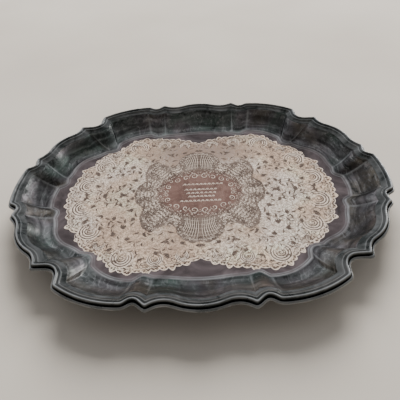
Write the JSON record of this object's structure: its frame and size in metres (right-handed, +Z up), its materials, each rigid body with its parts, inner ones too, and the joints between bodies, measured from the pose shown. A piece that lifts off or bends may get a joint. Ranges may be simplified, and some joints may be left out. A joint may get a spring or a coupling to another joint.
{
  "type": "oval footed salver",
  "caption": "Oval silver-plated serving salver with a lobed Chippendale border, a fluted booge, an engraved flat well and small cast feet.",
  "frame": {"origin": "on the floor plane that the feet stand on, under the centre of the oval", "axes": "+X along the long axis of the oval, +Y across it towards the back, +Z up"},
  "size_m": [0.4064, 0.3156, 0.0312],
  "materials": {
    "tarnished_sheet": "silver plate, dark tarnish with a pale engraved ground in the well",
    "border_silver": "silver plate, polished on the ridges and tarnished in the hollows",
    "foot_silver": "cast, silver-plated, dull"
  },
  "bodies": {
    "root": {"tray_body": "tarnished_sheet", "border_back_right_bow": "border_silver", "border_back_right_arc": "border_silver", "border_back_bow": "border_silver", "border_back_left_arc": "border_silver", "border_back_left_bow": "border_silver", "border_left_arc": "border_silver", "border_front_left_bow": "border_silver", "border_front_left_arc": "border_silver", "border_front_bow": "border_silver", "border_front_right_arc": "border_silver", "border_front_right_bow": "border_silver", "border_right_arc": "border_silver", "foot_back_right": "foot_silver", "foot_front_right": "foot_silver", "foot_back_left": "foot_silver", "foot_front_left": "foot_silver"}
  },
  "joints": []
}
